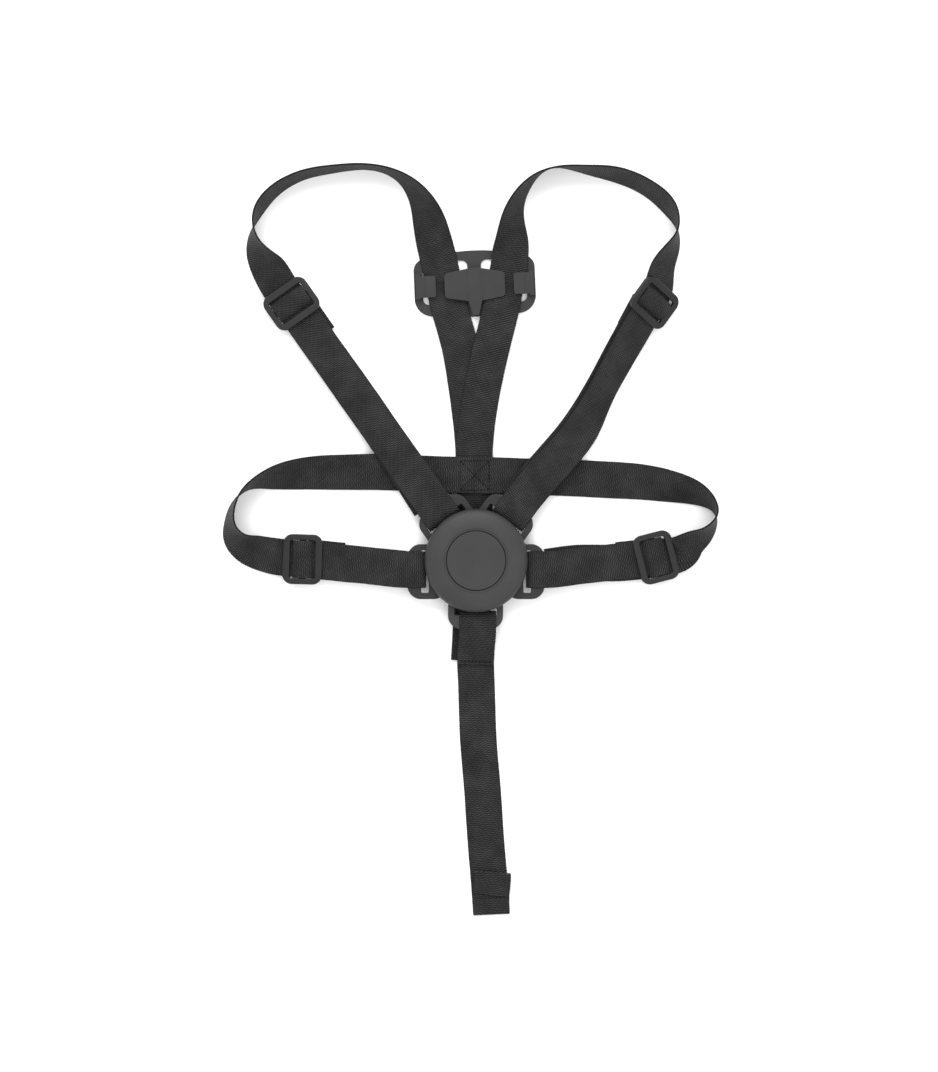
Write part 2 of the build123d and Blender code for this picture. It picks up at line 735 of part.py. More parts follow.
# ---------------------------------------------------------------- crotch strap
crotch_sections = flat_sections(crotch_route)
with BuildPart() as crotch_strap:
    low_head = head_section(crotch_turn, 0, wrap_low_mid, crotch_shift)
    low_head = section(low_head.origin, low_head.z_dir * -1, low_head.x_dir)
    add(webbing([low_head] + crotch_sections))
    add(wrap(crotch_turn, 0, crotch_shift))
    top_head = head_section(crotch_turn, 0, wrap_top_mid, crotch_shift)
    top_head = section(top_head.origin, top_head.z_dir * -1, top_head.x_dir)
    add(webbing([top_head] + flat_sections(crotch_lap_route)))
finish(crotch_strap.part, "crotch_strap")

lap_x, lap_y, lap_mid = crotch_lap_route[-1]
lap_climb = 0.45  # the lap slopes up from its end to the row of stitches
with BuildPart() as crotch_lap_stitching:
    with BuildSketch(Plane(origin=(lap_x, lap_y + 2.0, lap_mid + web_thick / 2 + lap_climb))):
        Rectangle(web_width - 4, thread, rotation=crotch_turn - 270)
    extrude(amount=thread_rise)
finish(crotch_lap_stitching.part, "crotch_lap_stitching")

stop_plane = crotch_sections[-1]
stop_side = Plane(
    origin=(stop_plane.origin.X, stop_end, web_thick + 2 * floor_gap),
    x_dir=stop_plane.z_dir * -1,
    z_dir=stop_plane.x_dir,
)
with BuildPart() as crotch_stop_fold:
    with BuildSketch(stop_side):
        with Locations((stop_fold_length / 2, web_thick / 2)):
            Rectangle(stop_fold_length, web_thick)
        with Locations((stop_fold_length - stop_flap_length / 2, 3 * web_thick / 2)):
            Rectangle(stop_flap_length, web_thick + 0.2)
    extrude(amount=web_width / 2, both=True)
finish(crotch_stop_fold.part, "crotch_stop_fold")

with BuildPart() as crotch_stop_stitching:
    with BuildSketch(stop_side.offset(4 - web_width / 2)):
        with Locations((stop_fold_length - stop_flap_length - 3, web_thick + thread_rise / 2)):
            Rectangle(thread, thread_rise)
    extrude(amount=web_width - 8)
finish(crotch_stop_stitching.part, "crotch_stop_stitching")
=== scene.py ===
"""Looks for a five-point child harness laid flat: webbing, sewing, buckle, tongues and yoke plate.

Routes and heights are in millimetres, as in the CAD, and turned into metres where a mesh is made.
"""

import math

import bmesh
import bpy
import numpy as np
from mathutils import Matrix, Vector, noise


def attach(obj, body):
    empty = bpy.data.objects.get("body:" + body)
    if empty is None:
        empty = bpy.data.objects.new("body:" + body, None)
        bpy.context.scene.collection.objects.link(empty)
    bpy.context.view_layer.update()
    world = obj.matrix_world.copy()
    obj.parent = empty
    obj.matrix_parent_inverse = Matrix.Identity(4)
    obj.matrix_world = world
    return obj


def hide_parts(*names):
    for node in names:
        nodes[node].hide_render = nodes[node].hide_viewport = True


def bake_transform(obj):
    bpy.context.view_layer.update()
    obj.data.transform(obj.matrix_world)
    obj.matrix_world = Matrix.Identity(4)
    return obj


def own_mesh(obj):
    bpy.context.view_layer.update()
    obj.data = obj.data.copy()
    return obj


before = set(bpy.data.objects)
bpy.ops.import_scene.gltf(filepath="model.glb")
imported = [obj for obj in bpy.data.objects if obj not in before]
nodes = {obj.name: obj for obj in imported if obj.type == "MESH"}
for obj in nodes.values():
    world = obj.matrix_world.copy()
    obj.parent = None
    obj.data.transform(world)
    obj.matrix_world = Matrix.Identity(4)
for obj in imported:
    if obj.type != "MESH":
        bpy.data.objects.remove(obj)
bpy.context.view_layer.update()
scene = bpy.context.scene

MM = 0.001
UP = Vector((0, 0, 1))

# ---------------------------------------------------------------- sizes shared with the CAD, in millimetres
WEB_WIDTH, WEB_THICK = 25.0, 1.3
FLOOR_GAP = 0.1
LAYER_MID = 0.8
BUCKLE = Vector((3.4, -14.6, 0))
TONGUE_MID = 9.3
WRAP_OUTER = 48.0
WRAP_TOP, WRAP_LOW = 11.55, 7.05
TONGUES = {
    "left_shoulder": (125.5, 0.0),
    "right_shoulder": (54.5, 0.0),
    "left_waist": (180.0, 7.5),
    "right_waist": (0.0, 7.5),
}
STRAPS = {
    "left_shoulder": {
        "at": (-122.1, 160.0, 3.2), "roll": 0, "turn": 0, "off": 0, "lead": 16, "run": 139, "shift": 1.5
    },
    "right_shoulder": {
        "at": (121.8, 162.0, 9.8), "roll": -35, "turn": -9, "off": 1.5, "lead": 8, "run": 80, "shift": -1.6
    },
    "left_waist": {
        "at": (-114.3, -13.8, 3.2), "roll": 0, "turn": 4, "off": 0, "lead": 16, "run": 50, "shift": -1.4
    },
    "right_waist": {
        "at": (125.5, -12.5, 3.2), "roll": 0, "turn": 8, "off": 0, "lead": 13.5, "run": 54, "shift": 1.4
    },
}
RIGHT_SHOULDER_AIM = (83.7, 91.6, 9.8)
RIGHT_SHOULDER_BENDS = [(73.8, 73.1, 8.6, -18), (58.5, 54, 8.3, -8)]
ADJUSTER_BASE = 1.9
HUMP_HALF, HUMP_RISE, HUMP_WIDTH = 6.8, 3.1, 25.7

# x, y, height of the lower edge, roll in degrees
LOOPS = {
    "left_shoulder": [
        (-18.6, 174, 1.7, 0),
        (-22.3, 191, 1.7, 0),
        (-26, 206, 1.7, 14),
        (-31, 224, 0.6, 42),
        (-46, 244.3, FLOOR_GAP, 75),
        (-67, 252.4, FLOOR_GAP, 86),
        (-92, 251.4, FLOOR_GAP, 83),
        (-115, 246.8, FLOOR_GAP, 80),
        (-135, 235, FLOOR_GAP, 76),
        (-146, 219, FLOOR_GAP, 82),
        (-148, 206, FLOOR_GAP, 104),
        (-144, 194, FLOOR_GAP, 132),
        (-138, 184.5, 0.8, 160),
    ],
    "right_shoulder": [
        (23.6, 174, 3.1, 0),
        (26.4, 191, 3.1, 0),
        (27.5, 206, 1.7, 32),
        (29, 222, 0.4, 58),
        (37, 239, FLOOR_GAP, 77),
        (53, 251.5, FLOOR_GAP, 94),
        (77, 251, FLOOR_GAP, 82),
        (100, 247, FLOOR_GAP, 70),
        (121, 237.6, FLOOR_GAP, 68),
        (136, 223, FLOOR_GAP, 72),
        (140.2, 210, FLOOR_GAP, 92),
        (136.8, 198.3, FLOOR_GAP, 113),
        (130.6, 185.8, FLOOR_GAP, 130),
    ],
    "left_waist": [
        (-52, 45.5, FLOOR_GAP, 4),
        (-85, 45.5, FLOOR_GAP, 16),
        (-115, 44.5, FLOOR_GAP, 32),
        (-135, 41.5, FLOOR_GAP, 55),
        (-152, 35, FLOOR_GAP, 84),
        (-161, 24, FLOOR_GAP, 98),
        (-163.5, 10, FLOOR_GAP, 110),
        (-159, -1, FLOOR_GAP, 133),
        (-148, -8, 0.4, 155),
        (-137, -11, 1.2, 170),
    ],
    "right_waist": [
        (58, 42, FLOOR_GAP, 0),
        (87, 40.7, FLOOR_GAP, 2),
        (119, 38.5, FLOOR_GAP, 18),
        (141, 34.8, FLOOR_GAP, 38),
        (158, 28.5, FLOOR_GAP, 62),
        (166.5, 17.5, FLOOR_GAP, 88),
        (163.2, 8, FLOOR_GAP, 106),
        (155.5, 0.8, FLOOR_GAP, 126),
        (148, -4.2, FLOOR_GAP, 143),
    ],
}
# straps that lie flat: x, y, height of the middle
LEFT_V = [
    (2, 34, 0.75),
    (2, 57, 0.75),
    (-3, 104, 1.6),
    (-8.5, 135, 2.35),
    (-15.5, 160, 2.35),
    (-18.6, 174, 2.35),
]
RIGHT_V = [
    (2.2, 34, 2.15),
    (2.2, 57, 2.15),
    (8, 104, 3.0),
    (15, 135, 3.75),
    (21, 160, 3.75),
    (23.6, 174, 3.75),
]
BELT_MIDDLE = (2.4, 43.4, 4.95)
LEFT_BELT = [BELT_MIDDLE, (-13, 43.6, 4.95), (-46, 45.2, 0.75)]
RIGHT_BELT = [BELT_MIDDLE, (18, 43.1, 4.95), (51, 42.1, 0.75)]
SPINE = [(2.2, 55, 3.55), (2.2, 33, 3.55), (2.2, 20, 0.75), (0.4, -55, 0.75), (-1.3, -83, 0.75)]
CROTCH_TURN, CROTCH_SHIFT = 269.4, 1.6
CROTCH = [
    (3.4, -74, 5.2),
    (3.1, -85, 3.55),
    (3.6, -98, 0.75),
    (5.0, -137, 0.75),
    (7.8, -171, 0.75),
    (9.9, -203, 0.75),
    (11.9, -227, 0.75),
    (13.9, -254.5, 0.75),
]
CROTCH_LAP = [(3.5, -76, 6.6), (3.1, -85.5, 4.95)]


# ---------------------------------------------------------------- routes
def plane(turn, drop):
    """Origin and outward and sideways directions of a tongue's place on the buckle."""
    heading = math.radians(turn)
    out = Vector((math.cos(heading), math.sin(heading), 0))
    return BUCKLE - Vector((0, drop, 0)), out, UP.cross(out)


def rolled(along, roll):
    """The across and outward directions of a strap that runs along a line, rolled about it."""
    level = UP.cross(along).normalized()
    across = level * math.cos(math.radians(roll)) + along.cross(level) * math.sin(math.radians(roll))
    return across, along.cross(across)


def strap_head(name):
    """The middle of a doubled strap where it meets its tongue."""
    origin, out, sideways = plane(*TONGUES[name])
    return origin + out * WRAP_OUTER + sideways * STRAPS[name]["shift"] + UP * TONGUE_MID


def strap_frame(name):
    """Origin under the adjuster, then the directions to the buckle, across and out of the doubled strap."""
    start = Vector(STRAPS[name]["at"])
    end = Vector(RIGHT_SHOULDER_AIM) if name == "right_shoulder" else strap_head(name)
    along = (end - start).normalized()
    across, out = rolled(along, STRAPS[name]["roll"])
    return start, along, across, out


def loop_stations(route, side):
    """Centre and across direction at each point of a loop that twists half a turn."""
    centres = []
    for x, y, lift, roll in route:
        turn = math.radians(roll)
        rise = WEB_WIDTH / 2 * math.sin(turn) + WEB_THICK / 2 * abs(math.cos(turn))
        centres.append(Vector((x, y, lift + rise)))
    stations = []
    for i, (_, _, _, roll) in enumerate(route):
        along = (centres[min(i + 1, len(route) - 1)] - centres[max(i - 1, 0)]).normalized()
        level = UP.cross(along).normalized()
        lean = along.cross(level)
        turn = math.radians(roll)
        stations.append((centres[i], level * math.cos(turn) + lean * (side * math.sin(turn))))
    return stations


def flat_stations(route):
    """Centre and across direction at each point of a strap that lies flat."""
    centres = [Vector(p) for p in route]
    stations = []
    for i, centre in enumerate(centres):
        along = (centres[min(i + 1, len(centres) - 1)] - centres[max(i - 1, 0)]).normalized()
        stations.append((centre, UP.cross(along).normalized()))
    return stations


def straight_station(name, distance, height, shift=0.0):
    """A point of the straight strap, turned over to match the half twist of the loop before it."""
    start, along, across, out = strap_frame(name)
    return start + along * distance + out * height + across * shift, across * -1


def bend_stations(name, height, shift=0.0):
    """The points where a strap bends between its straight part and its tongue."""
    if name != "right_shoulder":
        return []
    points = [Vector(RIGHT_SHOULDER_AIM)] + [Vector(p[:3]) for p in RIGHT_SHOULDER_BENDS] + [strap_head(name)]
    stations = []
    for i, (_, _, _, roll) in enumerate(RIGHT_SHOULDER_BENDS):
        across, out = rolled((points[i + 2] - points[i]).normalized(), roll)
        stations.append((points[i + 1] + out * height + across * shift, across * -1))
    return stations


# a strap's way over a tongue's bar, under the cover's rim, down through the slot and back:
# distance from the buckle's middle and height
WRAP = [
    (WRAP_OUTER, WRAP_TOP),
    (43.5, WRAP_TOP),
    (39.5, 11.52),
    (37.2, 11.1),
    (35.4, 10.2),
    (34.5, 9.2),
    (35.2, 8.1),
    (37.4, 7.2),
    (43.0, WRAP_LOW),
    (WRAP_OUTER, WRAP_LOW),
]


def wrap_stations(turn, drop, shift=0.0):
    """The strap wrapped round a tongue's bar."""
    origin, out, across = plane(turn, drop)
    return [(origin + out * d + across * shift + UP * z, across) for d, z in WRAP]


def spline(knots, values, at):
    """Natural cubic spline through values at knots."""
    n = len(knots)
    if n == 2:
        t = ((at - knots[0]) / (knots[1] - knots[0]))[:, None]
        return values[0] * (1 - t) + values[1] * t
    h = np.diff(knots)
    system = np.eye(n)
    right = np.zeros((n, values.shape[1]))
    for i in range(1, n - 1):
        system[i, i - 1 : i + 2] = h[i - 1], 2 * (h[i - 1] + h[i]), h[i]
        right[i] = 6 * ((values[i + 1] - values[i]) / h[i] - (values[i] - values[i - 1]) / h[i - 1])
    bend = np.linalg.solve(system, right)
    k = np.clip(np.searchsorted(knots, at, side="right") - 1, 0, n - 2)
    left, after = (knots[k + 1] - at)[:, None], (at - knots[k])[:, None]
    step = h[k][:, None]
    return (
        (bend[k] * left**3 + bend[k + 1] * after**3) / (6 * step)
        + (values[k] / step - bend[k] * step / 6) * left
        + (values[k + 1] / step - bend[k + 1] * step / 6) * after
    )


def smooth(stations, step=1.6, floor=True):
    """Evenly spaced centres and across directions on a smooth curve through stations."""
    points = np.array([list(p) for p, _ in stations])
    across = np.array([list(a) for _, a in stations])
    knots = np.concatenate([[0], np.cumsum(np.linalg.norm(np.diff(points, axis=0), axis=1))])
    count = max(int(knots[-1] / step), 2)
    at = np.linspace(0, knots[-1], count + 1)
    p = spline(knots, points, at)
    a = spline(knots, across, at)
    along = np.gradient(p, axis=0)
    along /= np.linalg.norm(along, axis=1)[:, None]
    a -= (a * along).sum(1)[:, None] * along
    a /= np.linalg.norm(a, axis=1)[:, None]
    if floor:  # nothing goes into the surface that the harness lies on
        normal = np.cross(along, a)
        low = p[:, 2] - np.abs(a[:, 2]) * WEB_WIDTH / 2 - np.abs(normal[:, 2]) * WEB_THICK / 2
        p[:, 2] += np.clip(FLOOR_GAP - low, 0, None)
    run = np.concatenate([[0], np.cumsum(np.linalg.norm(np.diff(p, axis=0), axis=1))])
    return p, a, along, run


# half a cross-section of webbing, from one selvedge over the face to the other
FACE = [
    (-12.5, 0.0),
    (-12.44, 0.3),
    (-12.2, 0.54),
    (-11.7, 0.65),
    (-10.9, 0.64),
    (-9.9, 0.59),
    (-6.6, 0.6),
    (-3.3, 0.6),
    (0.0, 0.6),
    (3.3, 0.6),
    (6.6, 0.6),
    (9.9, 0.59),
    (10.9, 0.64),
    (11.7, 0.65),
    (12.2, 0.54),
    (12.44, 0.3),
    (12.5, 0.0),
]
SECTION = FACE + [(u, -h) for u, h in reversed(FACE[1:-1])]


def make_piece(name, vertices, faces, look):
    """A smooth closed piece in the scene, with a material from MATERIALS in its slot."""
    mesh = bpy.data.meshes.new(name)
    mesh.from_pydata(vertices, [], faces)
    work = bmesh.new()
    work.from_mesh(mesh)
    bmesh.ops.recalc_face_normals(work, faces=work.faces)
    work.to_mesh(mesh)
    work.free()
    mesh.polygons.foreach_set("use_smooth", [True] * len(mesh.polygons))
    mesh.materials.append(MATERIALS[look])
    piece = bpy.data.objects.new(name, mesh)
    scene.collection.objects.link(piece)
    return piece


def ribbon(
    name, stations, seed=0.0, step=1.6, ripple=0.1, thick=WEB_THICK, width=WEB_WIDTH, floor=True, sign=1
):
    """A strap of webbing along stations, with a slight ripple and an uneven edge.

    Its "weave" attribute holds the place across and along the strap, in millimetres, and the face.
    """
    p, a, along, run = smooth(stations, step, floor)
    normal = np.cross(along, a)
    vertices, weave, faces = [], [], []
    ring = len(SECTION)
    for i in range(len(p)):
        for u, h in SECTION:
            wave = noise.noise(Vector((run[i] / 17 + seed, u / 13, seed * 3.1)))
            edge = noise.noise(Vector((run[i] / 9 + seed * 5, 7.7, u / 40)))
            rise = h * thick / WEB_THICK + ripple * wave
            spread = u * width / WEB_WIDTH * (1 + 0.008 * edge)
            vertices.append(tuple((p[i] + a[i] * spread + normal[i] * rise) * MM))
            weave.append((sign * u, sign * run[i], 1.0 if h >= 0 else -1.0))
    for i in range(len(p) - 1):
        for j in range(ring):
            k = (j + 1) % ring
            faces.append((i * ring + j, i * ring + k, (i + 1) * ring + k, (i + 1) * ring + j))
    faces.append(tuple(range(ring)))
    faces.append(tuple((len(p) - 1) * ring + j for j in reversed(range(ring))))
    piece = make_piece(name, vertices, faces, "webbing")
    attribute = piece.data.attributes.new("weave", "FLOAT_VECTOR", "POINT")
    attribute.data.foreach_set("vector", np.array(weave, np.float32).ravel())
    return piece


# ---------------------------------------------------------------- materials
class Tree:
    """A short way to write a node tree."""

    def __init__(self, name):
        self.material = bpy.data.materials.new(name)
        self.material.use_nodes = True
        self.nodes = self.material.node_tree.nodes
        self.links = self.material.node_tree.links
        self.shader = self.nodes["Principled BSDF"]

    def put(self, socket, value):
        if isinstance(value, bpy.types.NodeSocket):
            self.links.new(value, socket)
        else:
            socket.default_value = value

    def node(self, kind, settings=None, **inputs):
        made = self.nodes.new(kind)
        for key, value in (settings or {}).items():
            setattr(made, key, value)
        for key, value in inputs.items():
            self.put(made.inputs[key.replace("_", " ")], value)
        return made

    def math(self, operation, a, b=0.0, c=0.0):
        made = self.nodes.new("ShaderNodeMath")
        made.operation = operation
        for i, value in enumerate((a, b, c)):
            self.put(made.inputs[i], value)
        return made.outputs[0]

    def noise(self, vector, scale, detail=2.0, roughness=0.5):
        made = self.node("ShaderNodeTexNoise", Scale=scale, Detail=detail, Roughness=roughness)
        self.put(made.inputs["Vector"], vector)
        return made.outputs["Fac"]

    def ramp(self, value, stops):
        made = self.nodes.new("ShaderNodeValToRGB")
        elements = made.color_ramp.elements
        while len(elements) < len(stops):
            elements.new(0.5)
        for element, (place, color) in zip(elements, stops):
            element.position = place
            element.color = (*color, 1.0)
        self.put(made.inputs["Fac"], value)
        return made.outputs["Color"]

    def bump(self, height, strength, distance, normal=None):
        made = self.node("ShaderNodeBump", Strength=strength, Distance=distance)
        self.put(made.inputs["Height"], height)
        if normal is not None:
            self.put(made.inputs["Normal"], normal)
        return made.outputs["Normal"]

    def set(self, **values):
        for key, value in values.items():
            self.put(self.shader.inputs[key.replace("_", " ")], value)


def grey(value):
    return (value, value * 0.995, value * 1.0)


def webbing_material():
    tree = Tree("webbing")
    read = tree.node("ShaderNodeAttribute", {"attribute_name": "weave"}).outputs["Vector"]
    split = tree.node("ShaderNodeSeparateXYZ", Vector=read)
    across, along = split.outputs["X"], split.outputs["Y"]
    # slight wander of the yarns
    wander = tree.noise(read, 0.22, 2.0)
    shifted = tree.math("MULTIPLY_ADD", wander, 1.3, along)
    # cross ribs of weft, broken into floats that step along the strap as a fine twill
    tau = 2 * math.pi
    step_across = tree.math("MULTIPLY", across, tau / 3.4)
    rib = tree.math("ADD", step_across, tree.math("MULTIPLY", shifted, tau / 1.7))
    twill = tree.math("MULTIPLY_ADD", tree.math("SINE", rib), 0.5, 0.5)
    warp = tree.math("MULTIPLY_ADD", tree.math("SINE", tree.math("MULTIPLY", across, tau / 0.85)), 0.5, 0.5)
    weft = tree.math("MULTIPLY_ADD", tree.math("SINE", tree.math("MULTIPLY", shifted, tau / 1.25)), 0.5, 0.5)
    floats = tree.math("MULTIPLY", warp, weft)
    fibre = tree.noise(read, 3.2, 3.0, 0.6)
    height = tree.math("ADD", tree.math("MULTIPLY", twill, 0.28), tree.math("MULTIPLY", floats, 0.3))
    height = tree.math("ADD", height, tree.math("MULTIPLY", weft, 0.26))
    height = tree.math("ADD", height, tree.math("MULTIPLY", fibre, 0.45))
    cloudy = tree.noise(read, 0.06, 4.0, 0.6)
    # painted highlight and shade: the colour follows the weave's height, so raised yarns are lighter and hollows
    # darker; the cloudy noise adds random tone
    tone = tree.math("ADD", tree.math("MULTIPLY", height, 0.8), tree.math("MULTIPLY", cloudy, 0.55))
    stops = [(0.3, grey(0.002)), (0.62, grey(0.008)), (0.85, grey(0.021)), (1.0, grey(0.042))]
    color = tree.ramp(tone, stops)
    # painted shade: a dark rim along both selvedges of the webbing
    edge = tree.math("GREATER_THAN", tree.math("ABSOLUTE", across), 12.2)
    selvedge_shade_mix = tree.node("ShaderNodeMix", {"data_type": "RGBA", "blend_type": "MIX"})
    tree.put(selvedge_shade_mix.inputs["Factor"], edge)
    tree.put(selvedge_shade_mix.inputs[6], color)
    tree.put(selvedge_shade_mix.inputs[7], (*grey(0.005), 1.0))
    rough = tree.math("MULTIPLY_ADD", fibre, 0.16, 0.7)
    tree.set(Base_Color=selvedge_shade_mix.outputs[2], Roughness=rough, Sheen_Weight=0.06, Sheen_Roughness=0.4)
    tree.set(Specular_IOR_Level=0.14, Normal=tree.bump(height, 0.9, 0.45 * MM))
    return tree.material


def plastic_material(name, base, rough, gloss_level, grain, spread=0.2, depth=0.05):
    """Moulded plastic: a fine spark-eroded grain, faint flow marks and slightly uneven gloss."""
    tree = Tree(name)
    place = tree.node("ShaderNodeTexCoord").outputs["Object"]
    fine = tree.noise(place, grain, 3.0, 0.6)
    flow = tree.noise(place, 55.0, 3.0, 0.5)
    wear = tree.noise(place, 240.0, 4.0, 0.62)
    tone = tree.math("ADD", tree.math("MULTIPLY", fine, 0.5), tree.math("MULTIPLY", flow, 0.5))
    low, high = base * (1 - spread), base * (1 + spread)
    color = tree.ramp(tone, [(0.3, grey(low)), (0.7, grey(high))])
    gloss = tree.math("MULTIPLY_ADD", wear, 0.14, rough - 0.07)
    tree.set(Base_Color=color, Roughness=gloss, Specular_IOR_Level=gloss_level)
    tree.set(Normal=tree.bump(fine, 0.35, depth * MM))
    return tree.material


def thread_material():
    tree = Tree("thread")
    place = tree.node("ShaderNodeTexCoord").outputs["Object"]
    twist = tree.node("ShaderNodeTexWave", Scale=900.0, Distortion=1.2, Detail=1.0)
    tree.put(twist.inputs["Vector"], place)
    color = tree.ramp(twist.outputs["Fac"], [(0.1, grey(0.001)), (0.9, grey(0.004))])
    tree.set(Base_Color=color, Roughness=0.62, Specular_IOR_Level=0.12, Sheen_Weight=0.05)
    tree.set(Normal=tree.bump(twist.outputs["Fac"], 0.5, 0.1 * MM))
    return tree.material


def steel_material():
    tree = Tree("steel")
    place = tree.node("ShaderNodeTexCoord").outputs["Object"]
    grain = tree.noise(place, 900.0, 3.0, 0.6)
    color = tree.ramp(grain, [(0.3, (0.36, 0.36, 0.37)), (0.7, (0.56, 0.56, 0.58))])
    rough = tree.math("MULTIPLY_ADD", grain, 0.2, 0.25)
    tree.set(Base_Color=color, Metallic=1.0, Roughness=rough, Normal=tree.bump(grain, 0.2, 0.05 * MM))
    return tree.material


MATERIALS = {
    "webbing": webbing_material(),
    "buckle_shell": plastic_material("buckle_shell", 0.024, 0.52, 0.3, 2600.0),
    "button": plastic_material("button", 0.022, 0.5, 0.3, 2600.0),
    "tongues": plastic_material("tongues", 0.014, 0.45, 0.25, 1900.0),
    "adjusters": plastic_material("adjusters", 0.012, 0.42, 0.22, 1900.0),
    "yoke": plastic_material("yoke", 0.018, 0.5, 0.28, 2300.0),
    "thread": thread_material(),
    "steel": steel_material(),
}
CAD_LOOKS = {
    "buckle_back_housing": "buckle_shell",
    "buckle_front_cover": "buckle_shell",
    "release_button": "button",
    "yoke_plate": "yoke",
    "latch_spring": "steel",
    "buckle_screws": "steel",
}
for name in TONGUES:
    CAD_LOOKS[f"{name}_tongue"] = "tongues"
    CAD_LOOKS[f"{name}_adjuster"] = "adjusters"
for name, look in CAD_LOOKS.items():
    mesh = nodes[name].data
    mesh.materials.clear()
    mesh.materials.append(MATERIALS[look])


# ---------------------------------------------------------------- shoulder and waist straps
SIDES = {"left_shoulder": -1, "right_shoulder": 1, "left_waist": -1, "right_waist": 1}
BELTS = {"left_waist": LEFT_BELT, "right_waist": RIGHT_BELT}
# how far each return layer lies off the front layer's line, at the adjuster, midway and at the tongue
RETURN_SHIFT = {
    "left_shoulder": (0.0, 0.3, -2.6),
    "right_shoulder": (-1.6, -1.6, -2.2),
    "left_waist": (0.4, 0.3, 0.2),
    "right_waist": (1.0, -2.4, -1.6),
}
TAIL_SHIFT = {"left_shoulder": 2.4, "right_shoulder": -1.2, "left_waist": 1.6, "right_waist": -0.8}
TAIL_END = {"left_shoulder": 29.5, "right_shoulder": 24.0, "left_waist": 27.5, "right_waist": 26.0}
LONG_RUN = 60


def front_layer(name, index):
    """The long layer: from the back or the belt, round the loop, under the adjuster and round the tongue."""
    turn, drop = TONGUES[name]
    place = STRAPS[name]
    run = place["run"]
    stations = []
    if name in BELTS:
        stations += flat_stations(BELTS[name])
    stations += loop_stations(LOOPS[name], SIDES[name])
    steps = [-place["lead"], -3.0, 10.0] + list(np.linspace(30.0, run, max(int((run - 30) / 30), 1) + 1))
    for distance in steps:
        # under an adjuster that sits off its middle the strap gives a little
        near = max(0.0, 1 - abs(distance - 1.5) / 16) * place["off"] * 0.95
        stations.append(straight_station(name, float(distance), LAYER_MID, near))
    stations += bend_stations(name, LAYER_MID)
    stations += wrap_stations(turn, drop, place["shift"])
    strap = ribbon(f"{name}_webbing", stations, seed=3.7 * index + 1.3, sign=SIDES[name])
    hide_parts(f"{name}_front_strap", f"{name}_loop_front", f"{name}_loop_back")
    if name in BELTS:
        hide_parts(f"{name}_belt")
        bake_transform(strap)
    else:
        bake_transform(strap)


def return_layer(name, index):
    """The layer that comes back from the tongue under the front one."""
    turn, drop = TONGUES[name]
    run, shift = STRAPS[name]["run"], STRAPS[name]["shift"]
    first, middle, last = RETURN_SHIFT[name]
    back = [straight_station(name, 2.0, -LAYER_MID, first), straight_station(name, 24.0, -LAYER_MID, first)]
    if run > LONG_RUN:
        back.append(straight_station(name, run * 0.55, -LAYER_MID, middle))
    back.append(straight_station(name, run, -LAYER_MID, (middle + last) / 2))
    back += bend_stations(name, -LAYER_MID, last)
    origin, outward, sideways = plane(turn, drop)
    back.append((origin + outward * WRAP_OUTER + UP * WRAP_LOW + sideways * (shift - last), sideways))
    layer = ribbon(f"{name}_return_webbing", back, seed=2.9 * index + 40, ripple=0.06)
    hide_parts(f"{name}_return_strap")
    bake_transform(layer)


def strap_tail(name, index):
    """The part of the strap's end that lies straight under the return layer; on the harness the end turns round
    the adjuster's bar and is sewn to itself.
    """
    height = -LAYER_MID - WEB_THICK - 0.05
    tail = [straight_station(name, d, height, TAIL_SHIFT[name]) for d in (2.0, 12.0, TAIL_END[name])]
    end = ribbon(f"{name}_tail_webbing", tail, seed=1.7 * index + 80, ripple=0.04, thick=WEB_THICK - 0.1)
    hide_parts(f"{name}_strap_tail")
    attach(end, f"{name}_slider")


def adjuster_hump(name, index):
    """The strap's hump over the adjuster's middle bar."""
    start, along, across, out = strap_frame(name)
    twist = Matrix.Rotation(math.radians(STRAPS[name]["turn"]), 3, out)
    ahead, beside = twist @ along, twist @ across
    middle_of_frame = start + across * STRAPS[name]["off"]
    low = ADJUSTER_BASE + 0.05
    hump = []
    for x in np.linspace(-HUMP_HALF, HUMP_HALF, 21):
        share = abs(x) / HUMP_HALF
        z = low + HUMP_RISE * (1 - share**2.4) ** 0.6 - WEB_THICK / 2 + 0.35 * (1 - share**2)
        hump.append((middle_of_frame + ahead * float(x) * 0.95 + out * z, beside * -1))
    seed = 5.1 * index + 60
    over = ribbon(f"{name}_hump_webbing", hump, seed, step=0.5, ripple=0.05, width=HUMP_WIDTH, floor=False)
    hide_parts(f"{name}_crossover")
    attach(over, f"{name}_slider")


for index, name in enumerate(TONGUES):
    front_layer(name, index)
    return_layer(name, index)
    strap_tail(name, index)
    adjuster_hump(name, index)

# ---------------------------------------------------------------- straps behind the back and the crotch strap
for name, route, seed in (("left_v", LEFT_V, 11), ("right_v", RIGHT_V, 15)):
    piece = ribbon(f"{name}_webbing", flat_stations(route), seed=seed)
    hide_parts(f"{name}_strap")
    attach(piece, "harness")

spine = flat_stations(SPINE)
piece = ribbon("spine_webbing", spine, seed=21)
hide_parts("spine_strap")
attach(piece, "harness")

lap = [(p, a) for p, a in reversed(flat_stations(CROTCH_LAP))]
crotch = lap + [(p, a * -1) for p, a in wrap_stations(CROTCH_TURN, 0, CROTCH_SHIFT)] + flat_stations(CROTCH)
crotch = [(p, a if a.x > 0 else a * -1) for p, a in crotch]
piece = ribbon("crotch_webbing", crotch, seed=25)
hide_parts("crotch_strap")
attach(piece, "harness")

